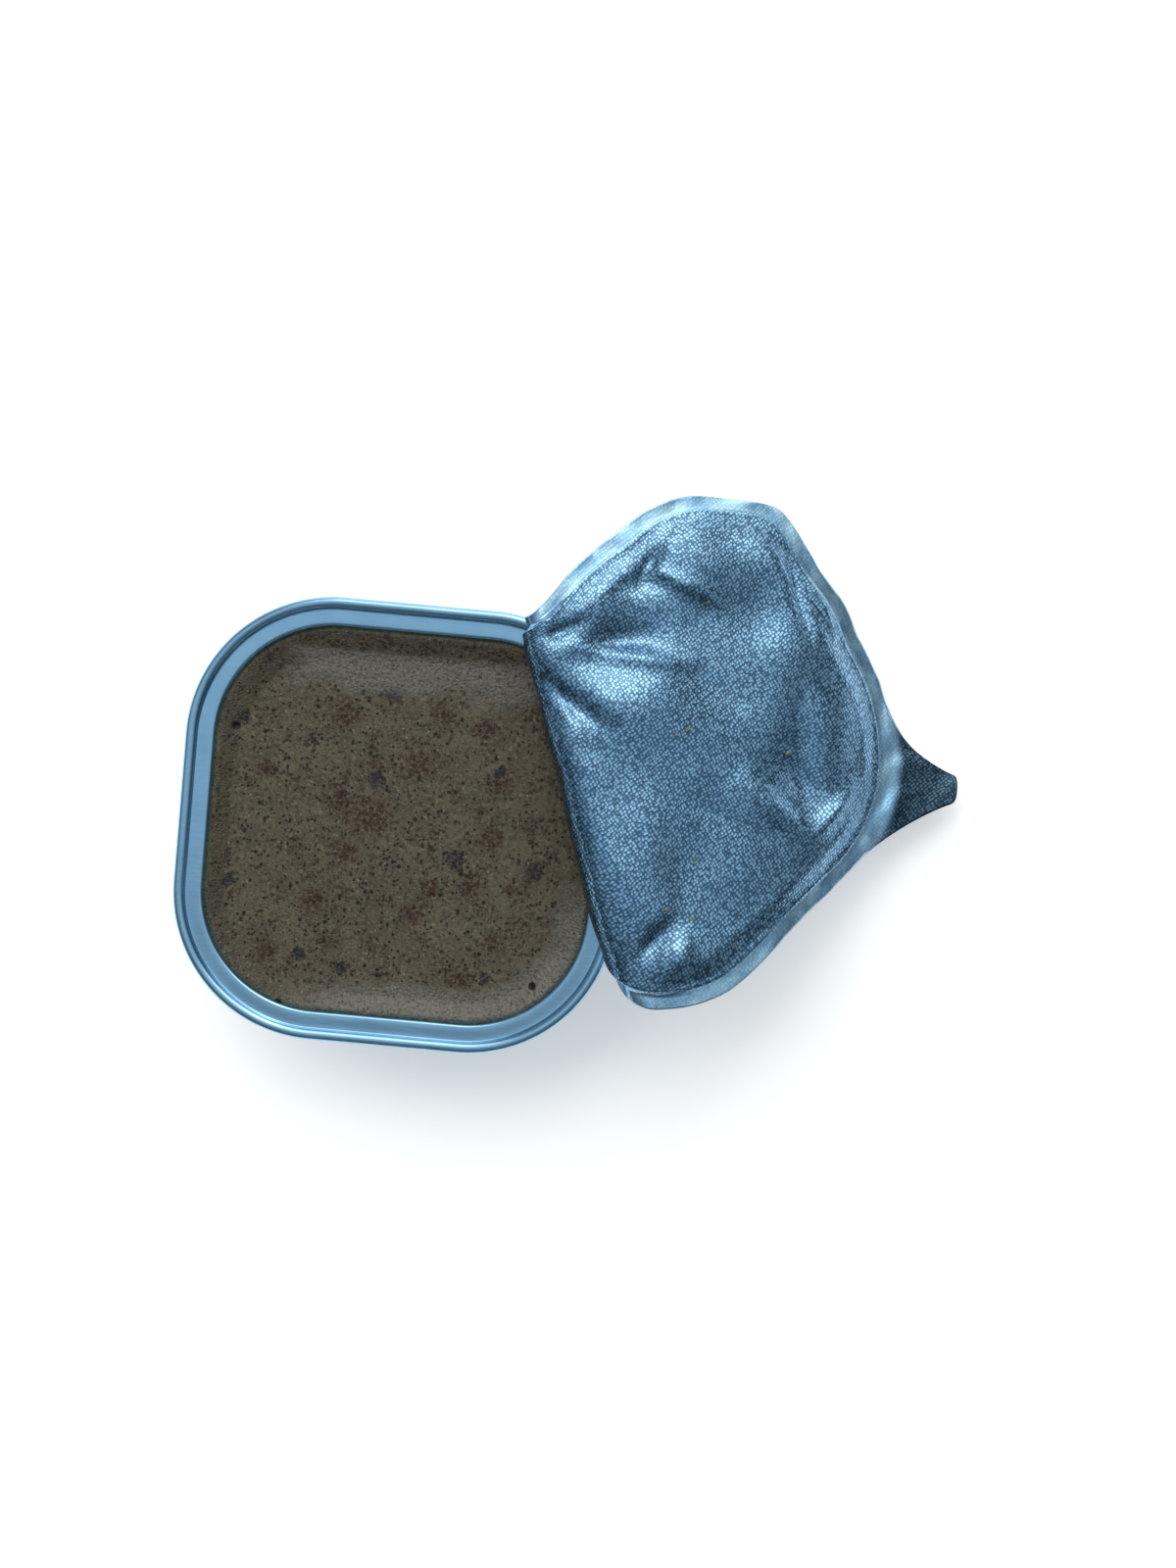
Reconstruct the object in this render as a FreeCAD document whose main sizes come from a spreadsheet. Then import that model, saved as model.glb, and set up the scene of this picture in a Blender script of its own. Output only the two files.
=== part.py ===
import FreeCAD, Part
import Sketcher
import math
import os

from FreeCAD import Vector

# Cat food tray: a pressed aluminium tray, rounded square in plan, filled with pate.
# Its peel-off foil lid is still sealed at the back right corner. The rest of it is
# peeled off, rolled over a fold and arches down to the right, underside up, until
# the pull tab reaches the table.
#
# Frame: millimetres, +Z up. The origin is the centre of the tray's foot on the table.
# +X runs to the side that the lid is folded over to, +Y to the back.

doc = FreeCAD.newDocument("CatFoodTray")

# --------------------------------------------------------------------------------
# Driving dimensions
# --------------------------------------------------------------------------------

SIZES = [
    # name, value, meaning
    ("tray_side", 88.0, "outer size over the rolled bead, both ways"),
    ("corner_offset", 14.7, "centre of every corner arc from the middle of the tray"),
    ("tray_height", 23.0, "table to the top of the sealing flange"),
    ("gauge", 0.2, "thickness of the pressed tray sheet"),
    ("bead_radius", 1.15, "outside radius of the rolled bead"),
    ("bead_lift", 0.05, "centre of the bead above the flange's top"),
    ("bead_root", 0.5, "rounding between flange and bead, on the under side"),
    ("curl_gap", 40.0, "open angle of the bead's curl under the flange, degrees"),
    ("flange_width", 3.1, "flat sealing flange between bead and mouth"),
    ("lip_radius", 0.6, "rounding of the mouth's inner lip"),
    ("wall_draft", 4.0, "how far the wall leans in from mouth to foot"),
    ("foot_radius", 4.0, "outside rounding between wall and foot"),
    ("panel_inset", 6.5, "raised bottom panel from the side of the foot"),
    ("panel_rise", 0.8, "raised bottom panel above the foot ring"),
    ("panel_slope", 1.4, "width of the slope round the bottom panel"),
    ("panel_round", 0.7, "rounding of the bottom panel's slope"),
    ("plate_margin", 4.0, "pressed ring of the bottom panel inside its slope"),
    ("food_gap", 0.05, "clearance of the food to the tray's sheet"),
    ("food_drop", 0.8, "top edge of the food below the flange"),
    ("margin_width", 3.8, "sloping margin round the top of the food"),
    ("margin_depth", 1.7, "level top of the food below its edge"),
    ("margin_round", 1.0, "rounding where the margin meets the level top"),
    ("foil", 0.15, "thickness of the lid foil"),
    ("lid_inset", 0.5, "lid's cut edge inside the tray's outer side"),
    ("bead_band", 2.4, "edge band of the lid that lay over the bead"),
    ("bead_clear", 0.3, "lid above the top of the bead"),
    ("bead_slope", 1.2, "width of the step from edge band to flange"),
    ("seal_band", 1.9, "flat band of the lid sealed to the flange"),
    ("bevel_width", 4.0, "width of the bevel round the lid's pressed panel"),
    ("panel_press", 2.1, "depth of the lid's pressed panel"),
    ("tab_length", 15.0, "pull tab beyond the rounded corner"),
    ("tab_tip_radius", 3.3, "rounding of the pull tab's tip"),
    ("tab_flare_radius", 45.0, "concave sides that run from tab to corner"),
    ("peel_line", 23.5, "where the peel line crosses the back side of the lid"),
    ("peel_angle", 21.0, "peel line from the tray's Y axis, degrees"),
    ("fold_radius_back", 4.0, "radius of the fold at the back end"),
    ("fold_radius_front", 6.5, "radius of the fold one lid length further"),
    ("fold_turn", 198.5, "how far the lid is rolled over, degrees"),
    ("fold_relief", 0.3, "share of the pressed panel left in the fold"),
    ("edge_relief", 0.35, "share of the edge band's step left beyond the fold"),
    ("arch_start", 48.0, "where the arch begins, from the peel line"),
    ("arch_radius", 72.0, "radius of the arch"),
    ("arch_skew", 21.0, "arch across the fold direction, degrees"),
    ("tab_start", 77.0, "where the tab bends level, from the peel line"),
    ("tab_radius", 20.0, "radius of the tab's bend"),
    ("tab_skew", 36.0, "tab's bend across the fold direction, degrees"),
    ("lid_grid", 2.0, "spacing of the control points of the lid's surface"),
]

sheet = doc.addObject("Spreadsheet::Sheet", "sizes")
for row, (name, value, meaning) in enumerate(SIZES, start=1):
    sheet.set("A%d" % row, name)
    sheet.set("B%d" % row, str(value))
    sheet.set("C%d" % row, meaning)
    sheet.setAlias("B%d" % row, name)
doc.recompute()


def number(expression):
    """Value of an expression of the sheet's sizes."""
    return float(sheet.evalExpression(expression))


def size(name):
    return number("sizes." + name)


# Lengths that several pieces share, as expressions of the sheet.
MOUTH = "sizes.tray_side / 2 - 2 * sizes.bead_radius - sizes.flange_width"
FOOT = MOUTH + " - sizes.wall_draft"
PANEL = FOOT + " - sizes.panel_inset"
PANEL_TOP = PANEL + " - sizes.panel_slope"
PLATE = PANEL_TOP + " - sizes.plate_margin"
FLANGE_UNDER = "sizes.tray_height - sizes.gauge"
BEAD_INSIDE = "sizes.bead_radius - sizes.gauge"
BEAD_ACROSS = "sizes.tray_side / 2 - sizes.bead_radius"
BEAD_HEIGHT = "sizes.tray_height + sizes.bead_lift"
TABLE = "0 * sizes.gauge"
LID_SIDE = "sizes.tray_side - 2 * sizes.lid_inset"

# The wall's slope, and the inside of the sheet seen from the food.
SLOPE = "sizes.wall_draft / (sizes.tray_height - sizes.gauge)"
WALL_SHIFT = "(sizes.gauge + sizes.food_gap) * sqrt(1 + (%s) ^ 2)" % SLOPE
PANEL_SHIFT = ("sizes.food_gap + sizes.gauge * (sqrt(sizes.panel_rise ^ 2"
               " + sizes.panel_slope ^ 2) - sizes.panel_slope) / sizes.panel_rise")
PANEL_INSIDE = "sizes.panel_rise + sizes.gauge"
FOOD_EDGE = "sizes.tray_height - sizes.food_drop"
FOOD_LEVEL = FOOD_EDGE + " - sizes.margin_depth"


# --------------------------------------------------------------------------------
# Sketches
# --------------------------------------------------------------------------------

UPRIGHT = FreeCAD.Placement(Vector(0, 0, 0), FreeCAD.Rotation(Vector(1, 0, 0), 90))


def new_sketch(name, placement=None):
    sketch = doc.addObject("Sketcher::SketchObject", name)
    if placement is not None:
        sketch.Placement = placement
    return sketch


def rule(sketch, kind, *places):
    return sketch.addConstraint(Sketcher.Constraint(kind, *places))


def dimension(sketch, kind, label, expression, *places):
    """A named dimension of the sketch, tied to the sheet."""
    index = rule(sketch, kind, *places, number(expression))
    sketch.renameConstraint(index, label)
    sketch.setExpression("Constraints." + label, expression)


def rounded_square(name, half_side, height):
    """A level square whose round corners turn about the shared corner centres."""
    sketch = new_sketch(name)
    middle = size("corner_offset")
    reach = number(half_side)
    radius = reach - middle
    centres = [(middle, middle), (-middle, middle), (-middle, -middle), (middle, -middle)]
    arcs = []
    for quarter, (x, y) in enumerate(centres):
        start = quarter * math.pi / 2
        circle = Part.Circle(Vector(x, y, 0), Vector(0, 0, 1), radius)
        arc = Part.ArcOfCircle(circle, start, start + math.pi / 2)
        arcs.append(sketch.addGeometry(arc, False))
    lines = []
    for quarter in range(4):
        following = (quarter + 1) % 4
        begin = sketch.Geometry[arcs[quarter]].EndPoint
        end = sketch.Geometry[arcs[following]].StartPoint
        lines.append(sketch.addGeometry(Part.LineSegment(begin, end), False))
    for quarter in range(4):
        following = (quarter + 1) % 4
        rule(sketch, "Tangent", arcs[quarter], 2, lines[quarter], 1)
        rule(sketch, "Tangent", lines[quarter], 2, arcs[following], 1)
        rule(sketch, "Horizontal" if quarter % 2 == 0 else "Vertical", lines[quarter])
        if quarter > 0:
            rule(sketch, "Equal", arcs[0], arcs[quarter])
    rule(sketch, "Symmetric", arcs[0], 3, arcs[2], 3, -1, 1)
    dimension(sketch, "DistanceX", "CentreAcross", "sizes.corner_offset", -1, 1, arcs[0], 3)
    dimension(sketch, "DistanceY", "CentreAlong", "sizes.corner_offset", -1, 1, arcs[0], 3)
    dimension(sketch, "Radius", "CornerRadius",
              "(%s) - sizes.corner_offset" % half_side, arcs[0])
    sketch.setExpression(".Placement.Base.z", height)
    return sketch


def rounded_corner(before, corner, after, radius):
    """Centre and two ends of the arc that rounds a corner of a chain."""
    back = (before - corner).normalize()
    ahead = (after - corner).normalize()
    half_angle = back.getAngle(ahead) / 2
    setback = radius / math.tan(half_angle)
    centre = corner + (back + ahead).normalize() * (radius / math.sin(half_angle))
    return centre, corner + back * setback, corner + ahead * setback


def rounded_path(sketch, corners, closed):
    """A chain of straight runs with rounded corners, drawn upright.

    corners lists (across, up, rounding) as expressions of the sheet. A rounding of
    None leaves the corner sharp. The runs lie on construction lines between the
    corner points, and the corner points carry the dimensions. An open chain's last
    run ends somewhere on its guide, for what follows to fix. Returns that run.
    """
    points = [Vector(number(x), number(z), 0) for x, z, rounding in corners]
    count = len(points)
    arcs = {}
    for place in range(count):
        rounding = corners[place][2]
        if rounding is not None:
            arcs[place] = rounded_corner(
                points[place - 1], points[place], points[(place + 1) % count],
                number(rounding))
    spans = [(i, (i + 1) % count) for i in range(count if closed else count - 1)]
    guides = []
    runs = []
    for first, second in spans:
        begin = arcs[first][2] if first in arcs else points[first]
        end = arcs[second][1] if second in arcs else points[second]
        guide = Part.LineSegment(points[first], points[second])
        guides.append(sketch.addGeometry(guide, True))
        runs.append(sketch.addGeometry(Part.LineSegment(begin, end), False))
    for place, (x, z, rounding) in enumerate(corners):
        guide, end = (guides[place], 1) if place < len(guides) else (guides[-1], 2)
        dimension(sketch, "DistanceX", "Across%d" % place, x, -1, 1, guide, end)
        if z is TABLE:
            rule(sketch, "PointOnObject", guide, end, -1)
        else:
            dimension(sketch, "DistanceY", "Up%d" % place, z, -1, 1, guide, end)
    if not closed:
        rule(sketch, "Coincident", runs[0], 1, guides[0], 1)
        rule(sketch, "PointOnObject", runs[-1], 2, guides[-1])
    for span in range(0 if closed else 1, len(spans)):
        place = spans[span][0]
        run_in, run_out = runs[span - 1], runs[span]
        rule(sketch, "Coincident", guides[span - 1], 2, guides[span], 1)
        if place not in arcs:
            rule(sketch, "Coincident", run_in, 2, guides[span], 1)
            rule(sketch, "Coincident", run_out, 1, guides[span], 1)
            continue
        rule(sketch, "PointOnObject", run_in, 2, guides[span - 1])
        rule(sketch, "PointOnObject", run_out, 1, guides[span])
        add_corner_arc(sketch, arcs[place], run_in, run_out, place, corners[place][2])
    return runs[-1]


def add_corner_arc(sketch, corner_arc, run_in, run_out, place, rounding):
    centre, begin, end = corner_arc
    turns_left = (begin - centre).cross(end - centre).z > 0
    first, last = (begin, end) if turns_left else (end, begin)
    start_angle = math.atan2(first.y - centre.y, first.x - centre.x)
    end_angle = math.atan2(last.y - centre.y, last.x - centre.x)
    circle = Part.Circle(centre, Vector(0, 0, 1), (begin - centre).Length)
    arc = sketch.addGeometry(Part.ArcOfCircle(circle, start_angle, end_angle), False)
    start_place, end_place = (1, 2) if turns_left else (2, 1)
    rule(sketch, "Tangent", run_in, 2, arc, start_place)
    rule(sketch, "Tangent", arc, end_place, run_out, 1)
    dimension(sketch, "Radius", "Rounding%d" % place, rounding, arc)


# --------------------------------------------------------------------------------
# Tray
# --------------------------------------------------------------------------------

def bead_curl(sketch, flange):
    """Bead section: the sheet turns up off the flange, over and back in below it."""
    inside = number(BEAD_INSIDE)
    root = size("bead_root")
    bead = Vector(number(BEAD_ACROSS), number(BEAD_HEIGHT), 0)
    root_height = number(FLANGE_UNDER) + root
    rise = root_height - bead.y
    reach = math.sqrt((inside + root) ** 2 - rise ** 2)
    heel = Vector(bead.x - reach, root_height, 0)
    lean = math.atan2(rise, -reach)
    curl_end = math.pi + math.radians(size("curl_gap"))
    axis = Vector(0, 0, 1)
    turn = sketch.addGeometry(Part.ArcOfCircle(
        Part.Circle(heel, axis, root), -math.pi / 2, lean - math.pi), False)
    curl = sketch.addGeometry(Part.ArcOfCircle(
        Part.Circle(bead, axis, inside), curl_end - 2 * math.pi, lean), False)
    rule(sketch, "Tangent", flange, 2, turn, 1)
    rule(sketch, "Tangent", turn, 2, curl, 2)
    dimension(sketch, "Radius", "BeadRoot", "sizes.bead_root", turn)
    dimension(sketch, "Radius", "BeadInside", BEAD_INSIDE, curl)
    dimension(sketch, "DistanceX", "BeadAcross", BEAD_ACROSS, -1, 1, curl, 3)
    dimension(sketch, "DistanceY", "BeadHeight", BEAD_HEIGHT, -1, 1, curl, 3)
    dimension(sketch, "DistanceY", "CurlEnd",
              "(%s) * sin(sizes.curl_gap * 1 deg)" % BEAD_INSIDE, curl, 1, curl, 3)


def swept(name, section, spine):
    sweep = doc.addObject("Part::Sweep", name)
    sweep.Sections = [section]
    sweep.Spine = (spine, ["Edge%d" % (i + 1) for i in range(len(spine.Shape.Edges))])
    sweep.Solid = True
    sweep.Frenet = False
    return sweep


def slab(name, outline, thickness):
    block = doc.addObject("Part::Extrusion", name)
    block.Base = outline
    block.DirMode = "Custom"
    block.Dir = Vector(0, 0, 1)
    block.Solid = True
    block.setExpression("LengthFwd", thickness)
    return block


def joined(name, pieces):
    fusion = doc.addObject("Part::MultiFuse", name)
    fusion.Shapes = pieces
    fusion.Refine = True
    fusion.Label = name
    return fusion


def make_tray():
    """One pressed sheet: bottom panel, foot ring, leaning wall, flange and bead."""
    profile = new_sketch("tray_profile", UPRIGHT)
    flange = rounded_path(profile, [
        (PLATE, "sizes.panel_rise", None),
        (PANEL_TOP, "sizes.panel_rise", "sizes.panel_round"),
        (PANEL, TABLE, "sizes.panel_round"),
        (FOOT, TABLE, "sizes.foot_radius"),
        (MOUTH, FLANGE_UNDER, "sizes.lip_radius - sizes.gauge"),
        (BEAD_ACROSS, FLANGE_UNDER, None),
    ], closed=False)
    bead_curl(profile, flange)
    doc.recompute()
    section = doc.addObject("Part::Offset2D", "tray_section")
    section.Source = profile
    section.Mode = "Skin"
    section.setExpression("Value", "sizes.gauge")
    section.Fill = True
    rim_path = rounded_square("rim_path", MOUTH, TABLE)
    plate_outline = rounded_square("plate_outline", PLATE, "sizes.panel_rise")
    doc.recompute()
    ring = swept("pressed_ring", section, rim_path)
    plate = slab("bottom_plate", plate_outline, "sizes.gauge")
    return joined("tray", [ring, plate])


# --------------------------------------------------------------------------------
# Food
# --------------------------------------------------------------------------------

def wall_inside(height):
    """Half width of the food at a height, as an expression."""
    return "%s + (%s) * (%s) - %s" % (FOOT, SLOPE, height, WALL_SHIFT)


def make_food():
    """Pate that fills the tray, with the lid's panel printed in its top."""
    top_edge = wall_inside(FOOD_EDGE)
    section = new_sketch("food_section", UPRIGHT)
    rounded_path(section, [
        (PLATE, PANEL_INSIDE, None),
        (PANEL_TOP + " + " + PANEL_SHIFT, PANEL_INSIDE, "sizes.panel_round + sizes.gauge"),
        (PANEL + " + " + PANEL_SHIFT, "sizes.gauge", "sizes.panel_round - sizes.gauge"),
        (wall_inside("sizes.gauge"), "sizes.gauge", "sizes.foot_radius - sizes.gauge"),
        (top_edge, FOOD_EDGE, None),
        (top_edge + " - sizes.margin_width", FOOD_LEVEL, "sizes.margin_round"),
        (PLATE, FOOD_LEVEL, None),
    ], closed=True)
    path = rounded_square("food_path", PLATE, TABLE)
    core_outline = rounded_square("core_outline", PLATE, PANEL_INSIDE)
    doc.recompute()
    ring = swept("food_ring", section, path)
    core = slab("food_core", core_outline, "%s - (%s)" % (FOOD_LEVEL, PANEL_INSIDE))
    return joined("food", [ring, core])


# --------------------------------------------------------------------------------
# Lid
# --------------------------------------------------------------------------------
#
# The lid is worked out in two steps. The flat blank has its own coordinates, the
# same as the tray's X and Y when the lid is shut, and its pressed relief is a height
# over the flange. Three bends then roll it up: the tab's bend, the arch and the fold.

def smooth(share):
    """0 to 1 with level ends."""
    share = min(max(share, 0.0), 1.0)
    return share * share * (3 - 2 * share)


class LidForm:
    """Sizes of the lid, read from the sheet once."""

    def __init__(self):
        self.half = number(LID_SIDE) / 2
        self.corner = size("corner_offset")
        self.radius = self.half - self.corner
        self.bead_height = size("bead_lift") + size("bead_radius") + size("bead_clear")
        self.bead_band = size("bead_band")
        self.bead_slope = size("bead_slope")
        self.bevel_start = self.bead_band + self.bead_slope + size("seal_band")
        self.bevel_width = size("bevel_width")
        self.press = size("panel_press")
        self.turn = math.radians(size("fold_turn"))
        self.radius_back = size("fold_radius_back")
        self.radius_front = size("fold_radius_front")
        angle = math.radians(size("peel_angle"))
        self.across = Vector(math.cos(angle), math.sin(angle), 0)
        self.along = Vector(math.sin(angle), -math.cos(angle), 0)
        self.start = Vector(size("peel_line"), self.half, 0)

    def inset(self, x, y):
        """Distance inside the lid's rounded square, less than zero on the tab."""
        beyond_x = abs(x) - self.corner
        beyond_y = abs(y) - self.corner
        outside = math.hypot(max(beyond_x, 0.0), max(beyond_y, 0.0))
        return self.radius - outside - min(max(beyond_x, beyond_y), 0.0)

    def edge_height(self, x, y):
        """Height of the edge band that lay over the bead, 0 from the seal inwards."""
        inset = self.inset(x, y)
        return self.bead_height * (1 - smooth((inset - self.bead_band) / self.bead_slope))

    def panel_depth(self, x, y):
        """Depth of the pressed panel inside the flat seal and the bevel."""
        inset = self.inset(x, y)
        return self.press * smooth((inset - self.bevel_start) / self.bevel_width)

    def fold_radius(self, length):
        share = length / (2 * self.half)
        return self.radius_back + (self.radius_front - self.radius_back) * share

    def panel_left(self, peeled, length):
        """Share of the panel that survives: the fold pulls the sheet nearly flat."""
        lap = self.turn * self.fold_radius(length)
        lifting = smooth(peeled / self.bevel_width + 1)
        settled = smooth((peeled - lap) / (2 * self.bevel_width))
        return 1 - (1 - size("fold_relief")) * lifting * (1 - settled)

    def edge_left(self, peeled, length):
        """Share of the edge band's step that is left: it eases beyond the fold."""
        lap = self.turn * self.fold_radius(length)
        return 1 - (1 - size("edge_relief")) * smooth((peeled - lap) / (2 * self.bevel_width))


def bend_along(middle, peeled, length, height, start, skew, radius):
    """Bend the sheet towards its upper side beyond a line across it.

    The line is start beyond the peel line at the lid's middle and leans by skew.
    Returns the place of the point as (peeled, length, height) after the bend.
    """
    lean = math.radians(skew)
    out = (peeled - start) * math.cos(lean) - (length - middle) * math.sin(lean)
    side = (peeled - start) * math.sin(lean) + (length - middle) * math.cos(lean)
    if out > 0:
        angle = out / radius
        out = (radius - height) * math.sin(angle)
        height = radius - (radius - height) * math.cos(angle)
    peeled = start + out * math.cos(lean) + side * math.sin(lean)
    length = middle - out * math.sin(lean) + side * math.cos(lean)
    return peeled, length, height


def lid_point(form, x, y, offset):
    """Where a point of the flat blank lies on the peeled lid."""
    place = Vector(x, y, 0) - form.start
    peeled = -place.dot(form.across)
    length = place.dot(form.along)
    edge = form.edge_height(x, y) * form.edge_left(peeled, length)
    panel = form.panel_depth(x, y) * form.panel_left(peeled, length)
    peeled, length, height = bend_along(
        form.half, peeled, length, edge - panel + offset,
        size("tab_start"), -size("tab_skew"), -size("tab_radius"))
    peeled, length, height = bend_along(
        form.half, peeled, length, height,
        size("arch_start"), -size("arch_skew"), size("arch_radius"))
    radius = max(form.fold_radius(length), size("foil"))
    if peeled <= 0:
        out, up = -peeled, height
    else:
        angle = min(peeled / radius, form.turn)
        rest = peeled - radius * angle
        out = -(radius - height) * math.sin(angle) - rest * math.cos(angle)
        up = radius - (radius - height) * math.cos(angle) + rest * math.sin(angle)
    flange = Vector(0, 0, size("tray_height"))
    return form.start + form.along * length + form.across * out + flange + Vector(0, 0, up)


def spline_knots(low, high, spacing):
    """Even knots of a cubic with clamped ends, and the places of its poles."""
    spans = math.ceil((high - low) / spacing)
    knots = [low + (high - low) * i / spans for i in range(spans + 1)]
    mults = [4] + [1] * (spans - 1) + [4]
    full = [knots[0]] * 3 + knots + [knots[-1]] * 3
    poles = [sum(full[i + 1:i + 4]) / 3 for i in range(spans + 3)]
    return knots, mults, poles


def lid_surface(form, offset):
    """Spline surface whose own coordinates are those of the flat blank."""
    spacing = size("lid_grid")
    low = -form.half - size("tab_length") / 2
    high = form.half + spacing
    knots, mults, places = spline_knots(low, high, spacing)
    poles = [[lid_point(form, x, y, offset) for y in places] for x in places]
    surface = Part.BSplineSurface()
    surface.buildFromPolesMultsKnots(poles, mults, mults, knots, knots, False, False, 3, 3)
    return surface


def lid_outline(form):
    """Edge of the flat blank as flat curves: rounded square with a pull tab."""
    flat = FreeCAD.Base.Vector2d
    middle = form.corner
    tip_radius = size("tab_tip_radius")
    flare = size("tab_flare_radius")
    tip = form.radius + size("tab_length") - tip_radius
    # the flare touches the corner arc and the tip's arc, so its centre is a corner
    # of a triangle with the two other centres
    to_corner = form.radius + flare
    to_tip = tip_radius + flare
    out = (to_corner ** 2 - to_tip ** 2 + tip ** 2) / (2 * tip)
    side = math.sqrt(to_corner ** 2 - out ** 2)
    diagonal = math.radians(225)
    spread = math.atan2(side, out)
    swing = math.atan2(side, out - tip)

    def on_diagonal(along, across):
        return flat(
            -middle + along * math.cos(diagonal) - across * math.sin(diagonal),
            -middle + along * math.sin(diagonal) + across * math.cos(diagonal))

    def arc(centre, radius, start, end):
        circle = Part.Geom2d.Circle2d(centre, radius)
        return Part.Geom2d.ArcOfCircle2d(circle, start, end)

    def flare_arc(hand):
        towards_corner = diagonal + math.pi + hand * spread
        towards_tip = diagonal + math.pi + hand * swing
        return arc(on_diagonal(out, hand * side), flare,
                   min(towards_corner, towards_tip), max(towards_corner, towards_tip))

    def line(x1, y1, x2, y2):
        return Part.Geom2d.Line2dSegment(flat(x1, y1), flat(x2, y2))

    quarter = math.pi / 2
    half = form.half
    return [
        arc(flat(middle, middle), form.radius, 0, quarter),
        line(middle, half, -middle, half),
        arc(flat(-middle, middle), form.radius, quarter, 2 * quarter),
        line(-half, middle, -half, -middle),
        arc(flat(-middle, -middle), form.radius, 2 * quarter, diagonal - spread),
        flare_arc(-1),
        arc(on_diagonal(tip, 0), tip_radius, diagonal - swing, diagonal + swing),
        flare_arc(1),
        arc(flat(-middle, -middle), form.radius, diagonal + spread, 3 * quarter),
        line(-middle, -half, middle, -half),
        arc(flat(middle, -middle), form.radius, 3 * quarter, 4 * quarter),
        line(half, -middle, half, middle),
    ]


def make_lid():
    """The foil between two spline surfaces, trimmed to the outline of the blank."""
    form = LidForm()
    curves = lid_outline(form)
    faces = []
    edges = []
    for offset in (0.0, size("foil")):
        surface = lid_surface(form, offset)
        rim = [curve.toShape(surface) for curve in curves]
        edges.append(rim)
        faces.append(Part.Face(surface, Part.Wire(rim)))
    same_way = 1
    for lower, upper in zip(*edges):
        faces.append(Part.makeRuledSurface(lower, upper, same_way))
    skin = Part.makeCompound(faces)
    skin.sewShape()
    solid = Part.makeSolid(skin.Shells[0])
    if solid.Volume < 0:
        solid.reverse()
    lid = doc.addObject("Part::Feature", "lid")
    lid.Label = "lid"
    lid.Shape = solid
    lid.Placement = FreeCAD.Placement()
    return lid


# --------------------------------------------------------------------------------
# Build, check and write
# --------------------------------------------------------------------------------

pieces = [make_tray(), make_food(), make_lid()]
doc.recompute()

for thing in doc.Objects:
    if "Invalid" in thing.State or "Error" in thing.State:
        raise RuntimeError("%s did not build: %s" % (thing.Name, thing.State))

os.makedirs("parts", exist_ok=True)
for piece in pieces:
    shape = piece.Shape
    if shape.isNull() or not shape.isValid() or len(shape.Solids) != 1:
        raise RuntimeError("%s is not one sound solid" % piece.Label)
    solid = shape.Solids[0]
    solid.exportStep("parts/%s.step" % piece.Label)
    print("%s: %.0f mm3" % (piece.Label, solid.Volume))
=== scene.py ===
"""Cat food tray: pressed aluminium tray, pate, and a foil lid peeled and folded over.

Lengths are in millimetres here and are turned to metres where a mesh or the camera is
made; the lamps are placed in metres. The flat lid has its own coordinates, the tray's X and
Y when shut.
"""
import math
import random

import bmesh
import bpy
from mathutils import Euler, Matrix, Vector, geometry, noise


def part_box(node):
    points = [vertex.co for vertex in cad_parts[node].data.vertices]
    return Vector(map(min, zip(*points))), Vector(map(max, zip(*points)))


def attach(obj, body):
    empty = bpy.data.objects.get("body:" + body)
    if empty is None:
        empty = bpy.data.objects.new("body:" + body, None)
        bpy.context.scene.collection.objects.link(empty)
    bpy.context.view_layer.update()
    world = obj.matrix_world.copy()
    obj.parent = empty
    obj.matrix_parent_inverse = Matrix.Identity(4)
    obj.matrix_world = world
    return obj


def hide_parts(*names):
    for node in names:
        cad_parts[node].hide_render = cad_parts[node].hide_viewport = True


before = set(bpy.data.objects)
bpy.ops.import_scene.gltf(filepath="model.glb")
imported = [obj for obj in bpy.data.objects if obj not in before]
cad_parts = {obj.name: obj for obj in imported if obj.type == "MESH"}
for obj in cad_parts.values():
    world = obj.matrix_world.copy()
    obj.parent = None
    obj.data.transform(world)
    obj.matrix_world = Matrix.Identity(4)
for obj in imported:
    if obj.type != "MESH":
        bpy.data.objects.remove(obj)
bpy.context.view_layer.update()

MM = 0.001

# --------------------------------------------------------------------------------
# Sizes
# --------------------------------------------------------------------------------

TRAY_HIGH = [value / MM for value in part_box("tray")[1]]
FOOD_HIGH = [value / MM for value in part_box("food")[1]]
LID_HIGH = [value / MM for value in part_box("lid")[1]]

TRAY_HALF = TRAY_HIGH[0]        # over the rolled bead
CORNER = 14.7                   # centre of every corner arc from the middle
GAUGE = 0.2                     # sheet of the tray
BEAD = 1.15                     # radius of the rolled bead
BEAD_RISE = 0.05                # the bead's centre over the flange
FLANGE = 3.1                    # flat ring between the bead and the mouth
WALL_LEAN = 4.0                 # how far the wall leans out from foot to mouth
FOOT_RING = 6.5                 # width of the ring that the tray stands on
FLANGE_TOP = TRAY_HIGH[2] - BEAD - BEAD_RISE
MOUTH = TRAY_HALF - 2 * BEAD - FLANGE
FOOT = MOUTH - WALL_LEAN
PANEL = FOOT - FOOT_RING        # raised panel in the bottom
PANEL_RISE = 0.8
PANEL_SLOPE = 1.4               # how far the step up to the panel takes

FOOD_EDGE = FOOD_HIGH[2]        # the pate's edge against the wall
FOOD_SHRINK = 0.05              # how far the pate's top stays under that
PRESS_DEPTH = 1.7               # the lid's panel printed in the pate
PRESS_MARGIN = 3.8              # from the wall to the print's floor
PRESS_WIDER = 1.6               # how much wider that margin is at the back

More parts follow.
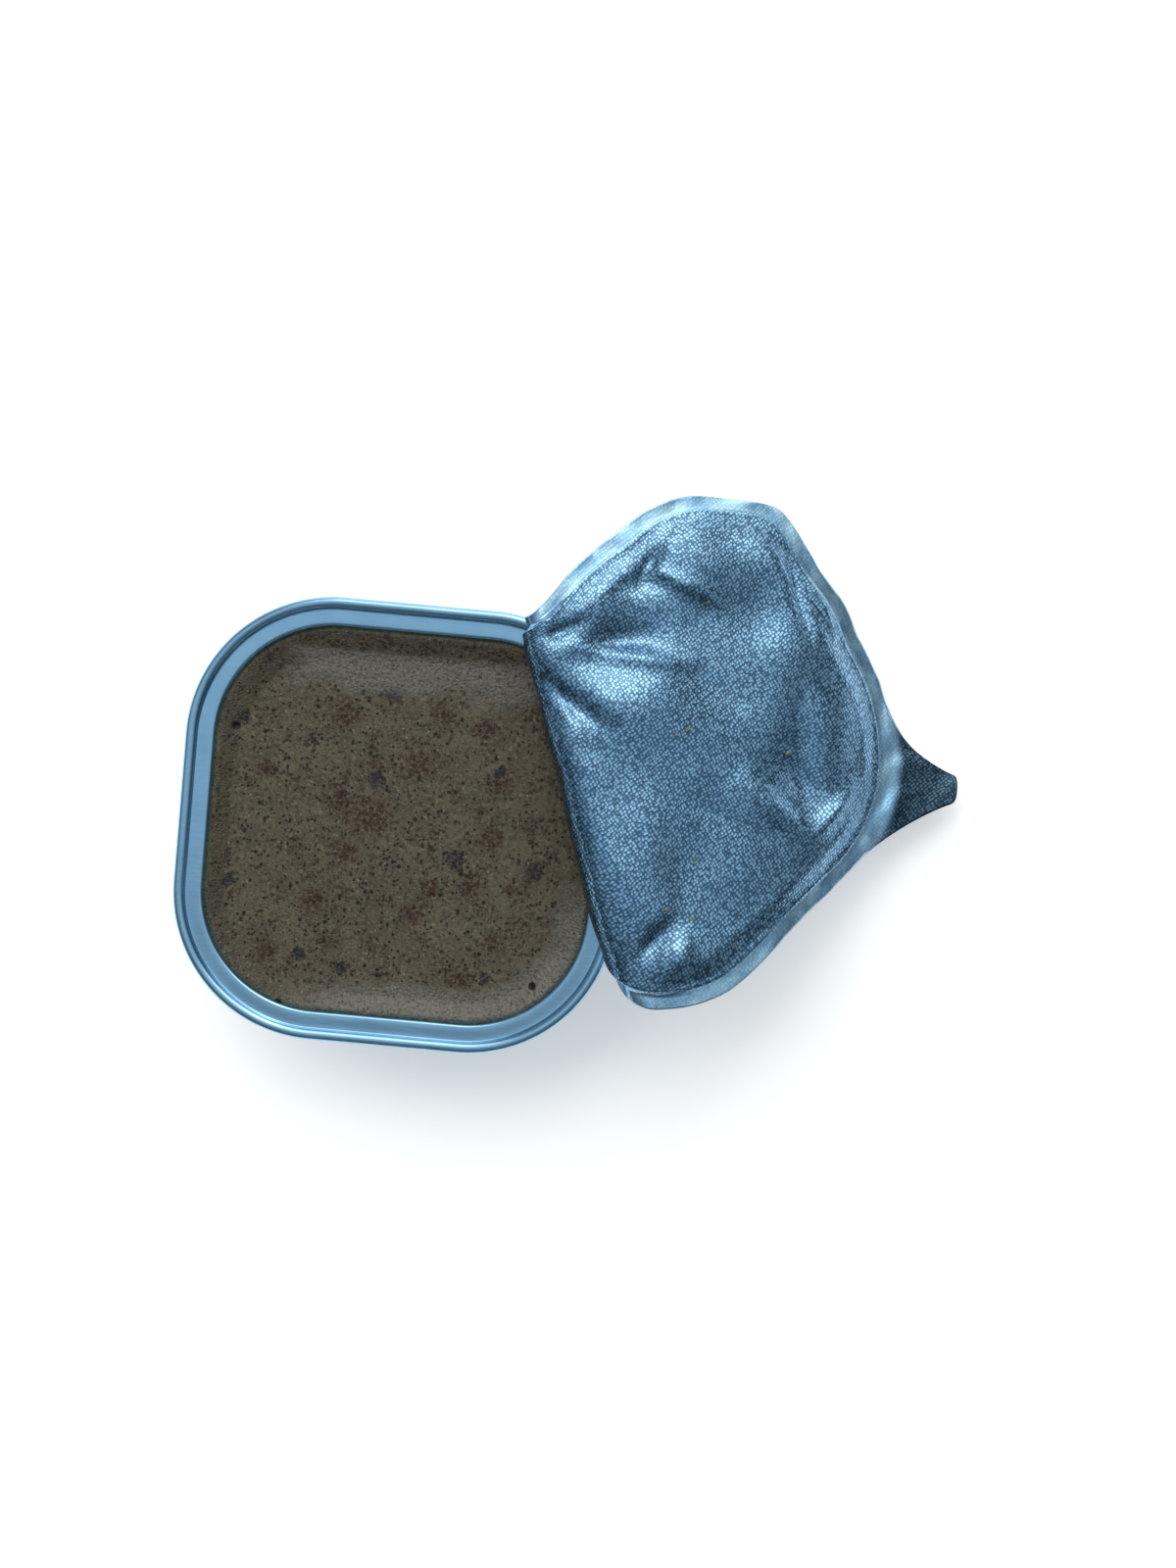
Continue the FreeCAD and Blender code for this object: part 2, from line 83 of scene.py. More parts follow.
LID_HALF = 43.5
FOIL = (0.02, 0.13)             # the foil's two sides over the solid's lower side
EDGE_BAND = 2.4                 # band of the lid that lay over the bead
EDGE_HEIGHT = 1.5               # its height over the sealed ring
PANEL_INSET = 3.8               # where the lid's sunken panel begins
PANEL_BEVEL = 4.6               # width of the bevel down to it
PANEL_DEPTH = 1.3
TAB_LENGTH = 15.0
TAB_TIP = 3.3                   # radius of the tab's end
TAB_FLARE = 45.0                # radius of its hollow sides
PEEL_LINE = 23.5                # where the fold crosses the back edge
PEEL_ANGLE = 21.0               # way in which the lid was pulled back, in degrees
FOLD_TURN = math.radians(198.5)
FOLD_RADIUS = (4.0, 6.5)        # at the back edge and at the front one
SETTLING = 8.0                  # distance from the fold to where the lid is flat again

# --------------------------------------------------------------------------------
# Small helpers
# --------------------------------------------------------------------------------


def smooth(share):
    """0 to 1 with level ends."""
    share = min(max(share, 0.0), 1.0)
    return share * share * (3 - 2 * share)


def mix(first, second, share):
    """Share 0 gives the first, share 1 the second."""
    return first + (second - first) * share


def inset_of(x, y, half):
    """Distance inside a rounded square with the shared corner centres."""
    beyond_x = abs(x) - CORNER
    beyond_y = abs(y) - CORNER
    outside = math.hypot(max(beyond_x, 0.0), max(beyond_y, 0.0))
    return half - CORNER - outside - min(max(beyond_x, beyond_y), 0.0)


def ripple(x, y, z, scale, seed):
    """Soft random value about 0, one swell for each scale."""
    return noise.noise(Vector((x / scale + seed, y / scale - seed, z / scale + 3 * seed)))


def stations(step):
    """Places round the corner centres' square, each with its way out."""
    found = []
    for quarter in range(4):
        turn = quarter * math.pi / 2
        corner = Vector((math.cos(turn + math.pi / 4), math.sin(turn + math.pi / 4)))
        centre = corner * CORNER * math.sqrt(2)
        following = Vector((-centre.y, centre.x))
        bends = math.ceil((TRAY_HALF - CORNER) * math.pi / 2 / step)
        for i in range(bends):
            angle = turn + math.pi / 2 * i / bends
            found.append((centre, Vector((math.cos(angle), math.sin(angle)))))
        out = Vector((math.cos(turn + math.pi / 2), math.sin(turn + math.pi / 2)))
        runs = math.ceil(2 * CORNER / step)
        for i in range(runs):
            found.append((centre.lerp(following, i / runs), out))
    return found


def arc(centre, radius, start, end, step):
    """Points along an arc, both ends in. Angles in degrees."""
    sweep = math.radians(end - start)
    count = max(3, math.ceil(abs(sweep) * radius / step))
    angles = [math.radians(start) + sweep * i / count for i in range(count + 1)]
    return [Vector((centre[0] + radius * math.cos(a), centre[1] + radius * math.sin(a)))
            for a in angles]


def rounded_chain(corners, step):
    """Points along straight runs whose corners (across, up, radius) are rounded."""
    points = [Vector((x, z)) for x, z, radius in corners]
    chain = [points[0]]
    for before, corner, after, (x, z, radius) in zip(
            points, points[1:], points[2:], corners[1:-1]):
        back = (before - corner).normalized()
        ahead = (after - corner).normalized()
        half_angle = back.angle(ahead) / 2
        centre = corner + (back + ahead).normalized() * (radius / math.sin(half_angle))
        start = corner + back * (radius / math.tan(half_angle))
        end = corner + ahead * (radius / math.tan(half_angle))
        first = math.atan2(start.y - centre.y, start.x - centre.x)
        turn = (end - centre).angle_signed(start - centre)
        chain += arc(centre, radius, math.degrees(first), math.degrees(first + turn), step)
    chain.append(points[-1])
    return chain


def refined(chain, step):
    """The same chain with its long runs cut to the step."""
    finer = []
    for first, second in zip(chain, chain[1:]):
        count = max(1, math.ceil((second - first).length / step))
        finer += [first.lerp(second, i / count) for i in range(count)]
    finer.append(chain[-1])
    return finer


def beside(chain, distance):
    """The chain moved to its left."""
    moved = []
    for i, point in enumerate(chain):
        ahead = chain[min(i + 1, len(chain) - 1)] - chain[max(i - 1, 0)]
        ahead.normalize()
        moved.append(point + Vector((-ahead.y, ahead.x)) * distance)
    return moved


def new_piece(name, vertices, faces, material, flat=None):
    """A mesh piece that rides with the tray. flat gives each vertex its flat place."""
    mesh = bpy.data.meshes.new(name)
    mesh.from_pydata([Vector(v) * MM for v in vertices], [], faces)
    mesh.polygons.foreach_set("use_smooth", [True] * len(mesh.polygons))
    if flat is not None:
        layer = mesh.uv_layers.new(name="flat")
        for loop in mesh.loops:
            layer.data[loop.index].uv = flat[loop.vertex_index]
    mesh.materials.append(material)
    mesh.validate()
    piece = bpy.data.objects.new(name, mesh)
    bpy.context.collection.objects.link(piece)
    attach(piece, "root")
    return piece


def triangulated(points, loop):
    """Triangles of the points inside the closed loop of the first points."""
    edges = [(i, (i + 1) % loop) for i in range(loop)]
    result = geometry.delaunay_2d_cdt([Vector(p) for p in points], edges, [], 1, 1e-5)
    places, faces = result[0], result[2]
    return [(p.x, p.y) for p in places], [tuple(face) for face in faces]


def rim_edges(faces):
    """Directed edges that only one face has."""
    edges = set()
    for face in faces:
        for first, second in zip(face, face[1:] + face[:1]):
            edges.add((first, second))
    return [edge for edge in edges if (edge[1], edge[0]) not in edges]


# --------------------------------------------------------------------------------
# Tray
# --------------------------------------------------------------------------------


def tray_profile():
    """Under side of the pressed sheet, from the bottom panel to the curl's end."""
    under_flange = FLANGE_TOP - GAUGE
    panel_edge = PANEL - PANEL_SLOPE
    panel_bend, foot_bend, mouth_bend, bead_bend = 0.7, 4.0, 0.4, 0.5
    curl = BEAD - GAUGE
    curl_end = -140
    across, height = TRAY_HALF - BEAD, FLANGE_TOP + BEAD_RISE
    rise = under_flange + bead_bend - height
    reach = math.sqrt((curl + bead_bend) ** 2 - rise ** 2)
    heel = (across - reach, under_flange + bead_bend)
    lean = math.degrees(math.atan2(rise, -reach)) % 360
    fine, curl_step, coarse = 0.12, 0.16, 1.2
    chain = rounded_chain([
        (panel_edge - 4.0, PANEL_RISE, None),
        (panel_edge, PANEL_RISE, panel_bend),
        (PANEL, 0.0, panel_bend),
        (FOOT, 0.0, foot_bend),
        (MOUTH, under_flange, mouth_bend),
        (heel[0], under_flange, None),
    ], fine)
    chain = refined(chain, coarse)
    chain += arc(heel, bead_bend, -90, lean - 180, fine)[1:]
    chain += arc((across, height), curl, lean, curl_end, curl_step)[1:]
    return chain


def tray_sway(point, height):
    """Slight unevenness of pressed sheet: how far it goes in, and down."""
    x, y = point
    over_foot = smooth((height - 2) / 4)
    near_flange = smooth((height - 15) / 5)
    on_flange = smooth((height - 22.3) / 0.4)
    inward = 0.05 * (1 + ripple(x, y, height, 9.0, 1.3)) * over_foot
    down = 0.04 * (1 + ripple(x, y, 0, 12.0, 4.1)) * near_flange
    return inward * (1 - on_flange), down


def make_tray(metal):
    """The pressed sheet's section carried round the corners, its bottom closed."""
    under = tray_profile()
    upper = beside(under, GAUGE)
    section = under + upper[::-1]
    places = stations(0.9)
    vertices = []
    for base, out in places:
        for half, height in section:
            point = base + out * (half - CORNER)
            inward, down = tray_sway(point, height)
            point -= out * inward
            vertices.append((point.x, point.y, height - down))
    count = len(section)
    faces = []
    for k in range(len(places)):
        here, there = k * count, (k + 1) % len(places) * count
        for j in range(count - 1):
            faces.append((here + j, here + j + 1, there + j + 1, there + j))
    faces.append(tuple(k * count for k in range(len(places)))[::-1])
    faces.append(tuple(k * count + count - 1 for k in range(len(places))))
    piece = new_piece("tray_shell", vertices, faces, metal)
    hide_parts("tray")
    return piece


# --------------------------------------------------------------------------------
# Pate
# --------------------------------------------------------------------------------


def wall_half(height):
    """Half width of the tray's inside at a height."""
    slope = WALL_LEAN / (FLANGE_TOP - GAUGE)
    return FOOT + slope * height - GAUGE * math.sqrt(1 + slope ** 2)


def rounded_ramp(share, rounding):
    """0 to 1 in a straight slope whose two ends are rounded."""
    if share < rounding:
        return max(share + rounding, 0.0) ** 2 / (4 * rounding)
    if share > 1 - rounding:
        return 1 - max(1 + rounding - share, 0.0) ** 2 / (4 * rounding)
    return share


def press_share(x, y, inset):
    """How far down the lid's panel was pressed, 0 at the wall to 1 on its floor."""
    start = 0.5
    width = PRESS_MARGIN + PRESS_WIDER * smooth((y - 5) / 25) - 0.4
    wander = 0.35 * ripple(x, y, 0, 7.0, 8.8) + 0.15 * ripple(x, y, 0, 2.0, 3.3)
    return rounded_ramp((inset - start + wander) / width, 0.10)


# Swells in the pate's top, from broad to fine: height, width and seed.
FOOD_SWELLS = ((0.16, 14.0, 2.2), (0.08, 4.0, 5.7), (0.05, 1.6, 7.1), (0.035, 0.8, 9.4))

# The large air holes: place and radius.
AIR_HOLES = ((-34.6, 16.8, 0.8), (-21.5, -37.2, 0.6), (28.6, -29.7, 0.75))


def scattered_pores(count, reach):
    """The large air holes, and fine ones over the whole top."""
    dice = random.Random(31)
    pores = list(AIR_HOLES)
    for i in range(count):
        x = dice.uniform(-reach, reach)
        y = dice.uniform(-reach, reach)
        pores.append((x, y, dice.uniform(0.3, 0.5)))
    return pores


PORES = scattered_pores(170, 36)


def food_top(x, y, inset):
    """Height of the pate's top: the lid's panel printed in it, and its own relief."""
    rounding = 0.5 * smooth(1 - inset / 0.8)
    height = FOOD_EDGE - FOOD_SHRINK - rounding - PRESS_DEPTH * press_share(x, y, inset)
    for amount, scale, seed in FOOD_SWELLS:
        height += amount * ripple(x, y, 0, scale, seed)
    for hole_x, hole_y, radius in PORES:
        away = math.hypot(x - hole_x, y - hole_y) / radius
        if away < 1.6:
            height -= 0.9 * radius * (1 - smooth(away / 1.5))
    return min(height, FOOD_EDGE - 0.02)


# Larger marks in the pate's top: place and reach.
BRUISES = (
    ((-4.0, 26.0), 1.7), ((-6.0, 8.5), 1.6), ((11.0, -5.8), 1.7), ((27.2, -6.8), 1.6),
    ((13.9, 28.5), 1.2), ((-4.4, 31.5), 0.9), ((-18.6, -27.5), 1.3), ((-9.8, -29.6), 1.2),
    ((19.0, -29.0), 1.1), ((18.4, 12.2), 1.0), ((-33.0, 19.0), 1.0), ((-33.8, -14.0), 1.2),
)
REDDENED = (
    ((7.5, 32.0), 1.5), ((14.8, 20.9), 2.2), ((18.4, 10.3), 2.6), ((6.3, 22.5), 2.4),
    ((-13.2, 21.0), 3.0), ((-6.2, 1.6), 3.6), ((-13.0, 3.8), 2.6), ((14.5, -10.9), 2.2),
    ((3.0, -16.8), 2.4), ((6.6, -12.0), 1.8), ((-11.5, -6.0), 2.4), ((-12.5, -24.0), 1.5),
    ((14.4, -29.9), 1.8), ((17.8, -0.8), 2.6), ((19.8, -21.5), 2.0), ((-17.0, -16.0), 2.4),
    ((2.0, 12.0), 3.0), ((-25.0, -27.0), 2.0), ((26.0, 2.0), 2.0), ((-28.0, 9.0), 1.8),
)


def spotted(x, y, spots, ragged):
    """How strongly a place is marked, 0 to 1, by spots with ragged edges."""
    share = 0.0
    for (centre_x, centre_y), reach in spots:
        away = math.hypot(x - centre_x, y - centre_y) / reach
        if away < 2.0:
            edge = ragged * ripple(x, y, 0, 0.9, 2.7)
            share = max(share, smooth(1.5 - away - edge))
    return share


def in_hole(x, y):
    """How deep in one of the large air holes a place is, 0 to 1."""
    return max(smooth(1.35 - math.hypot(x - hole_x, y - hole_y) / radius)
               for hole_x, hole_y, radius in AIR_HOLES)


def print_and_sheen_by_lid(x, y):
    """How clearly the lid's grain shows in the pate, with a painted sheen over it: at the
    back and near the front.
    """
    right_of = smooth((x + 27 + 3 * ripple(x, y, 0, 5, 1.1)) / 5)
    behind = smooth((y - 24.5 + 3.5 * ripple(x, y, 0, 6, 4.4)) / 4)
    before_wall = smooth((34.5 - y) / 1.5)
    margin = smooth((7.5 - inset_of(x, y, MOUTH)) / 2.0)
    near_front = smooth((0.5 * x - y - 22) / 12)
    return max(right_of * behind * before_wall, margin * near_front)


def paint_marks(piece):
    """Two layers of three masks: reddened, bruised, printed with its painted sheen; margin
    with its painted shade, jelly, hole with its painted shade.
    """
    marks = piece.data.color_attributes.new("marks", "FLOAT_COLOR", "POINT")
    surface = piece.data.color_attributes.new("surface", "FLOAT_COLOR", "POINT")
    out_of_sight = 15
    for index, vertex in enumerate(piece.data.vertices):
        x, y, z = vertex.co / MM
        if z < out_of_sight:
            continue
        reddened = spotted(x, y, REDDENED, 0.9)
        bruised = spotted(x, y, BRUISES, 0.5)
        marks.data[index].color = (reddened, bruised, print_and_sheen_by_lid(x, y), 1)
        inset = inset_of(x, y, wall_half(z))
        margin = 1 - smooth((press_share(x, y, inset) - 0.75) / 0.25)
        jelly = smooth(1 - (inset + 0.4 * ripple(x, y, 0, 2.5, 6.6)) / 0.9)
        surface.data[index].color = (margin, jelly, in_hole(x, y), 1)


def flat_food(half):
    """Flat points and triangles of the pate's top: rings along the wall, a grid inside."""
    places = stations(0.5)
    points = [base + out * (half - CORNER) for base, out in places]
    loop = len(points)
    for inset in (0.15, 0.35, 0.6):
        points += [base + out * (half - inset - CORNER) for base, out in places]
    step, unevenness = 0.42, 0.08
    count = int(half / step)
    dice = random.Random(8)
    for i in range(-count, count + 1):
        for j in range(-count, count + 1):
            x = i * step + dice.uniform(-unevenness, unevenness)
            y = j * step + dice.uniform(-unevenness, unevenness)
            if inset_of(x, y, half) > 0.85:
                points.append(Vector((x, y)))
    return triangulated(points, loop)


def in_order(edges):
    """The points of a closed ring of directed edges, one after another."""
    following = dict(edges)
    order = [edges[0][0]]
    while following[order[-1]] != order[0]:
        order.append(following[order[-1]])
    return order


def lowered(point, half, height):
    """The place below a point of the rim, on a rounded square of another half width."""
    x, y = point[:2]
    centre = Vector((min(max(x, -CORNER), CORNER), min(max(y, -CORNER), CORNER)))
    out = (Vector((x, y)) - centre).normalized()
    place = centre + out * (half - CORNER)
    return place.x, place.y, height


def make_food(material):
    """Closed body of pate, its sides let just into the wall."""
    into_wall = 0.07
    half = wall_half(FOOD_EDGE - 0.55) + into_wall
    flat, faces = flat_food(half)
    vertices = [(x, y, food_top(x, y, inset_of(x, y, half))) for x, y in flat]
    above = in_order(rim_edges(faces))
    levels = [(wall_half(z) + into_wall, z) for z in (15.0, 10.0, 6.5, 4.2)]
    # Round the foot the body draws in: height on the wall, how far in, and own height.
    drawn_in = ((2.2, 0.55, 2.0), (1.0, 1.6, 0.8), (0.0, 3.4, 0.12))
    levels += [(wall_half(wall) - inwards, z) for wall, inwards, z in drawn_in]
    for level_half, z in levels:
        below = [len(vertices) + i for i in range(len(above))]
        vertices += [lowered(vertices[index], level_half, z) for index in above]
        for i in range(len(above)):
            j = (i + 1) % len(above)
            faces.append((above[j], above[i], below[i], below[j]))
        above = below
    faces.append(tuple(above[::-1]))
    piece = new_piece("pate_body", vertices, faces, material,
                      flat=[v[:2] for v in vertices])
    paint_marks(piece)
    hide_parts("food")
    return piece


# --------------------------------------------------------------------------------
# Lid
# --------------------------------------------------------------------------------

ACROSS = Vector((math.cos(math.radians(PEEL_ANGLE)), math.sin(math.radians(PEEL_ANGLE))))
ALONG = Vector((ACROSS.y, -ACROSS.x))
START = Vector((PEEL_LINE, LID_HALF))


def edge_height(inset):
    """Height of the edge band that lay over the bead, 0 from the seal inwards."""
    return EDGE_HEIGHT * (1 - smooth((inset - EDGE_BAND) / 1.2))


def panel_depth(inset):
    """Depth of the sunken panel that lay in the tray's mouth."""
    return PANEL_DEPTH * smooth((inset - PANEL_INSET) / PANEL_BEVEL)


def fold_radius(length):
    """Radius of the fold, wider towards the front edge."""
    return max(mix(*FOLD_RADIUS, length / (2 * LID_HALF)), 0.15)


def settled(peeled, length):
    """0 up to the end of the fold, and 1 where the lid beyond it is flat again."""
    return smooth((peeled - FOLD_TURN * fold_radius(length)) / SETTLING)


def panel_left(peeled, length):
    """Share of the panel that survives in the fold."""
    lifting = smooth(peeled / 4.0 + 1)
    return 1 - 0.7 * lifting * (1 - settled(peeled, length))


def edge_left(peeled, length):
    """Share of the edge band's step that is left beyond the fold."""
    return 1 - 0.8 * settled(peeled, length)


# Broad bends of the lid beyond the fold: distance from the fold line, how far the
# bend is turned from that line in degrees, and its radius, negative for a bend to the
# sheet's lower side.
BENDS = ((70.0, -21.0, -30.0), (48.0, -21.0, 72.0))


def bend_along(peeled, length, height, start, skew, radius):
    """Bend the sheet to its upper side beyond a line across it."""
    lean = math.radians(skew)
    out = (peeled - start) * math.cos(lean) - (length - LID_HALF) * math.sin(lean)
    side = (peeled - start) * math.sin(lean) + (length - LID_HALF) * math.cos(lean)
    if out > 0:
        angle = out / radius
        out = (radius - height) * math.sin(angle)
        height = radius - (radius - height) * math.cos(angle)
    peeled = start + out * math.cos(lean) + side * math.sin(lean)
    length = LID_HALF - out * math.sin(lean) + side * math.cos(lean)
    return peeled, length, height


# The pull on the sheet where it was torn loose: place on the flat lid, reach of the
# pull, and how far the sheet gave way there, across and along.
PULLS = (
    ((-43.5, 2.0), 7.0, (-1.9, 0.4)),
    ((-43.5, -12.0), 9.0, (-1.7, 0.5)),
    ((-40.0, 27.0), 7.0, (-1.6, 0.9)),
    ((11.0, 43.5), 8.0, (0.0, -3.4)),
    ((-2.0, 43.5), 10.0, (0.0, -0.6)),
    ((14.0, -43.5), 11.0, (0.4, -1.0)),
    ((-46.0, -46.0), 10.0, (-1.0, 1.2)),
)


def pulled(x, y):
    """The flat place after the sheet has given way."""
    across, along = x, y
    for (centre_x, centre_y), reach, (give_x, give_y) in PULLS:
        away = math.hypot(x - centre_x, y - centre_y) / reach
        share = math.exp(-away * away)
        across += give_x * share
        along += give_y * share
    return across, along


def lid_point(x, y, offset):
    """Where a point of the flat lid lies on the peeled one."""
    inset = inset_of(x, y, LID_HALF)
    place = Vector(pulled(x, y)) - START
    peeled = -place.dot(ACROSS)
    length = place.dot(ALONG)
    height = edge_height(inset) * edge_left(peeled, length) + offset
    height -= panel_depth(inset) * panel_left(peeled, length)
    height += lid_relief(x, y, inset, peeled, length)
    for start, skew, bend_radius in BENDS:
        peeled, length, height = bend_along(peeled, length, height, start, skew, bend_radius)
    radius = fold_radius(length)
    if peeled <= 0:
        out, up = -peeled, height
    else:
        angle = min(peeled / radius, FOLD_TURN)
        rest = peeled - radius * angle
        out = -(radius - height) * math.sin(angle) - rest * math.cos(angle)
        up = radius - (radius - height) * math.cos(angle) + rest * math.sin(angle)
    place = START + ALONG * length + ACROSS * out
    return (kept_below(place.x, LID_HIGH[0]), kept_below(place.y, LID_HIGH[1]),
            kept_below(FLANGE_TOP + up, LID_HIGH[2]))


def kept_below(value, limit):
    """The value, eased so that it never passes the limit."""
    ease, clearance = 1.2, 0.01
    beyond = value - (limit - ease)
    if beyond <= 0:
        return value
    return limit - ease * math.exp(-beyond / ease) - clearance


# Creases: two ends on the flat lid, half width, and how far the sheet was pushed to
# its outer side, in the middle of the crease.
CREASES = (
    ((-17.5, 36.5), (-9.0, 32.5), 1.7, 1.0),
    ((-11.5, 34.0), (-20.5, 19.0), 1.5, -1.3),
    ((-4.0, 34.5), (-16.0, 28.0), 2.6, 1.0),
    ((13.5, 36.5), (4.0, 32.5), 1.8, 0.8),
    ((11.0, 31.5), (-9.0, 12.5), 2.2, -1.5),
    ((18.5, 31.0), (11.5, 12.0), 2.4, 2.0),
    ((9.0, 29.0), (-7.0, 21.5), 4.0, 1.7),
    ((-5.5, -12.0), (-11.5, -31.0), 3.0, -1.5),
    ((-12.5, -31.0), (-27.0, -29.0), 2.6, -1.5),
    ((-15.0, -13.0), (-18.0, -28.0), 3.4, 1.1),
    ((32.5, -27.5), (19.0, -26.0), 2.6, 1.7),
    ((30.0, -33.0), (20.0, -31.0), 2.4, -0.9),
    ((-38.5, 19.0), (-33.0, 2.0), 1.5, 1.2),
    ((-40.5, 14.0), (-38.0, -2.0), 1.2, -1.2),
    ((-27.0, -3.0), (-15.0, -25.0), 3.5, 0.7),
    ((-3.0, 22.0), (-14.0, 0.0), 2.6, 0.5),
    ((8.0, -3.0), (-3.0, -25.0), 3.2, 0.6),
)

# Soft dents and swells: place, reach, and how far to the outer side.
DENTS = (
    ((-12.5, 35.0), 3.2, 0.7),
    ((9.5, 35.0), 3.2, 0.6),
    ((18.0, 23.0), 5.0, 1.1),
    ((-24.0, 29.0), 7.0, -1.2),
    ((-27.0, 12.0), 7.0, 0.9),
    ((-10.0, -24.0), 7.0, 0.8),
    ((25.0, -12.0), 9.0, -1.2),
    ((0.0, 8.0), 10.0, -0.9),
    ((-30.0, -16.0), 7.0, -0.9),
    ((8.0, -34.0), 6.0, 0.8),
)

# Places where the sheet leans: place, reach, and the slope there.
LEANS = (
    ((4.0, 20.0), 8.5, (-0.06, 0.27)),
    ((16.5, 22.0), 4.5, (0.26, -0.05)),
    ((13.0, 14.5), 5.0, (0.20, -0.14)),
    ((-12.0, -10.0), 9.0, (-0.02, -0.08)),
    ((-29.0, 26.0), 7.0, (-0.04, 0.14)),
)


def along_crease(x, y, start, end):
    """Share of the way along a crease, and the distance beside it."""
    run = Vector(end) - Vector(start)
    place = Vector((x, y)) - Vector(start)
    share = place.dot(run) / run.length_squared
    nearest = Vector(start) + run * min(max(share, 0.0), 1.0)
    return share, (Vector((x, y)) - nearest).length


def wrinkles(x, y):
    """How far creases, dents and leans push the sheet to its outer side."""
    height = 0.0
    for start, end, width, push in CREASES:
        share, beside_it = along_crease(x, y, start, end)
        if beside_it < 3.5 * width:
            fade = smooth(1 - abs(share - 0.5) / 0.75)
            height += push * fade / math.cosh(1.4 * beside_it / width) ** 1.5
    for (centre_x, centre_y), reach, push in DENTS:
        away = math.hypot(x - centre_x, y - centre_y) / reach
        if away < 2.5:
            height += push * math.exp(-away * away)
    for (centre_x, centre_y), reach, (slope_x, slope_y) in LEANS:
        from_x, from_y = x - centre_x, y - centre_y
        away = math.hypot(from_x, from_y) / reach
        height += (slope_x * from_x + slope_y * from_y) * math.exp(-away * away)
    return height


def lid_relief(x, y, inset, peeled, length):
    """Groove, wavy edge and wrinkles, as a height to the sheet's outer side."""
    loose = smooth(peeled / 6)
    seal = 3.2
    groove = 0.16 * math.exp(-((inset - seal) / 0.2) ** 2)
    wavy = 0.45 * ripple(x, y, 0, 5.0, 3.9) * smooth(1 - inset / seal)
    soft = 0.9 * ripple(x, y, 0, 15.0, 6.2) + 0.06 * ripple(x, y, 0, 6.0, 1.7)
    soft *= smooth((inset - 4) / 6)
    creased = wrinkles(x, y) * smooth((inset - 2) / 3)
    return loose * (groove + wavy + soft + creased)


# The tab, along the corner's diagonal from the centre of the lid's corner arc: its
# end is an arc round TAB_ROUND, and each hollow side an arc that touches both.
LID_ARC = LID_HALF - CORNER
TAB_END = LID_ARC + TAB_LENGTH
TAB_ROUND = TAB_END - TAB_TIP
TO_HOLLOW = LID_ARC + TAB_FLARE
TIP_TO_HOLLOW = TAB_TIP + TAB_FLARE
HOLLOW_OUT = (TO_HOLLOW ** 2 - TIP_TO_HOLLOW ** 2 + TAB_ROUND ** 2) / (2 * TAB_ROUND)
HOLLOW_SIDE = math.sqrt(TO_HOLLOW ** 2 - HOLLOW_OUT ** 2)


def tab_half_width(along):
    """Half width of the tab at a distance from the corner arc's centre."""
    if along > TAB_ROUND + TAB_TIP * (HOLLOW_OUT - TAB_ROUND) / TIP_TO_HOLLOW:
        return math.sqrt(max(TAB_TIP ** 2 - (along - TAB_ROUND) ** 2, 0.0))
    return HOLLOW_SIDE - math.sqrt(TAB_FLARE ** 2 - (along - HOLLOW_OUT) ** 2)


def on_diagonal(along, across):
    """A place from the tab's corner centre, along the tab and across it."""
    turn = math.radians(225)
    return Vector((
        -CORNER + along * math.cos(turn) - across * math.sin(turn),
        -CORNER + along * math.sin(turn) + across * math.cos(turn)))


def lid_outline(step):
    """The flat lid's edge: a rounded square with its pull tab."""
    spread = math.acos(HOLLOW_OUT / TO_HOLLOW)
    begin = LID_ARC * HOLLOW_OUT / TO_HOLLOW
    edge = []
    for base, way in stations(step):
        from_tab = abs(math.atan2(way.y, way.x) - math.radians(-135))
        if from_tab > spread + 0.5 * step / LID_ARC:
            edge.append(base + way * LID_ARC)
    rows = math.ceil((TAB_END - begin) / step)
    sides = []
    for i in range(rows):
        along = mix(begin, TAB_END, math.sin(i / rows * math.pi / 2))
        sides.append((along, tab_half_width(along)))
    tab = [on_diagonal(along, -across) for along, across in sides]
    tab.append(on_diagonal(TAB_END, 0))
    tab += [on_diagonal(along, across) for along, across in reversed(sides)]
    split = min(range(len(edge)), key=lambda i: (edge[i] - tab[0]).length)
    return edge[:split + 1] + tab + edge[split + 1:]


def flat_lid():
    """Flat points and triangles: rings along the edge, rows in the tab, a grid inside."""
    step, grid = 0.5, 0.6
    rings, tab_start = 10.0, 24.0
    points = lid_outline(step)
    loop = len(points)
    places = stations(step)
    inset = 0.3
    while inset < rings:
        points += [base + out * (LID_ARC - inset) for base, out in places]
        over_groove = 2.8 < inset < 3.8
        inset += 0.2 if over_groove else 0.45
    count = int(LID_HALF / grid)
    for i in range(-count, count + 1):
        for j in range(-count, count + 1):
            if inset_of(i * grid, j * grid, LID_HALF) > rings + 0.3:
                points.append(Vector((i * grid, j * grid)))
    along = tab_start
    while along < TAB_END - 0.4:
        width = tab_half_width(along)
        rows = max(2, math.ceil(2 * width / step))
        for i in range(1, rows):
            across = mix(-width, width, i / rows)
            if math.hypot(along, across) > LID_ARC + 0.25:
                points.append(on_diagonal(along, across))
        along += step
    return triangulated(points, loop)


def paint_pressing(piece, flat):
    """Red: how deep the grain is embossed. Green: the tab, darkened in the colour as painted
    shade. Blue: the smooth border, with paler patches of painted highlight.
    """
    layer = piece.data.color_attributes.new("pressing", "FLOAT_COLOR", "POINT")
    for index, (x, y) in enumerate(flat):
        inset = inset_of(x, y, LID_HALF)
        tab = smooth((-0.3 - inset) / 2.5)
        border = 1 - smooth((inset - 2.8) / 0.8)
        layer.data[index].color = (max(1 - 0.7 * border, tab), tab, border * (1 - tab), 1)


